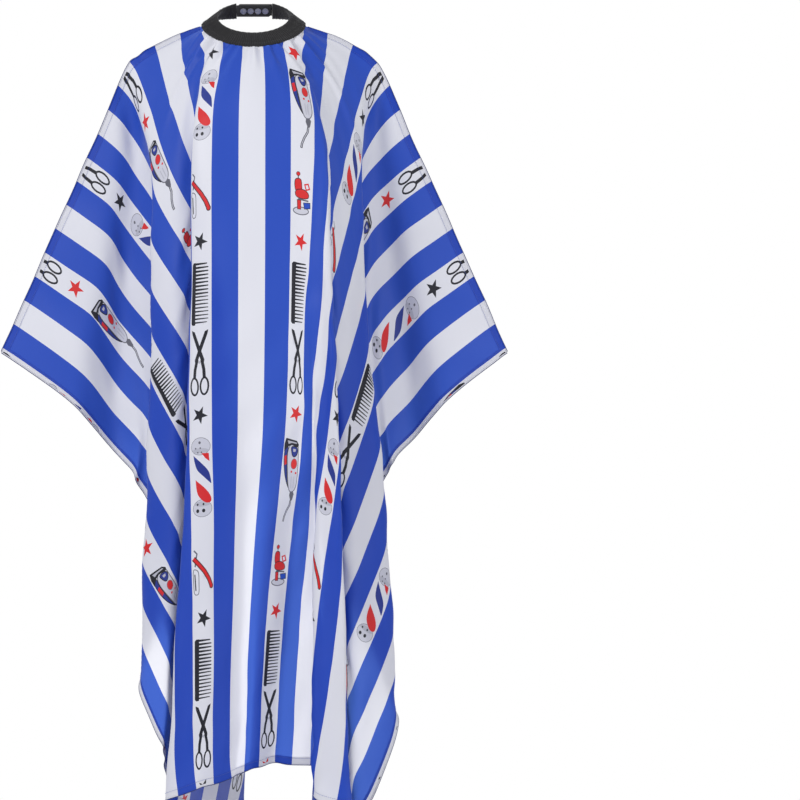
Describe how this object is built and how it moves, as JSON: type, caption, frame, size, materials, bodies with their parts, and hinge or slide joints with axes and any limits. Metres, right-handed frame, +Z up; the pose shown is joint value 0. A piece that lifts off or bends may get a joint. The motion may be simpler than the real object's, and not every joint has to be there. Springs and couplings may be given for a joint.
{
  "type": "barber cape",
  "caption": "Striped hairdressing cape draped from a gathered elastic neckband with a snap closure at the nape and two spread side panels.",
  "frame": {"origin": "centre of the neck opening, at the height of the neckband's sides", "axes": "+Z up, the front of the cape faces -Y, +X to the right of someone looking at the front"},
  "size_m": [0.834, 0.2544, 1.5336],
  "materials": {
    "striped_polyester": "thin woven polyester, blue and white stripes, slight sheen",
    "hem_polyester": "the same cloth turned under and stitched with dark thread",
    "black_casing": "black knitted casing, gathered into fine ribs",
    "woven_elastic": "black woven elastic",
    "black_webbing": "black woven tab cloth, stitched",
    "snap_metal": "nickel-plated snap fasteners"
  },
  "bodies": {
    "cape": {"cape_panel": "striped_polyester", "top_hem_left": "hem_polyester", "top_hem_right": "hem_polyester", "side_hem_left": "hem_polyester", "side_hem_right": "hem_polyester", "front_hem": "hem_polyester", "neckband_outer_ply": "black_casing", "neckband_inner_ply": "black_casing", "neckband_elastic": "woven_elastic", "inner_tab": "black_webbing", "stud_1": "snap_metal", "stud_2": "snap_metal", "stud_3": "snap_metal", "stud_4": "snap_metal", "stud_cap_1": "snap_metal", "stud_cap_2": "snap_metal", "stud_cap_3": "snap_metal", "stud_cap_4": "snap_metal"},
    "closure_flap": {"outer_tab": "black_webbing", "socket_1": "snap_metal", "socket_2": "snap_metal", "socket_cap_1": "snap_metal", "socket_cap_2": "snap_metal"}
  },
  "joints": [
    {"name": "closure_tab_hinge", "type": "hinge", "parent": "cape", "child": "closure_flap", "pos_m": [0.029, 0.0689, 0.02297], "axis": [0, 0.4246, -0.9054], "range_deg": [0, 110]}
  ]
}
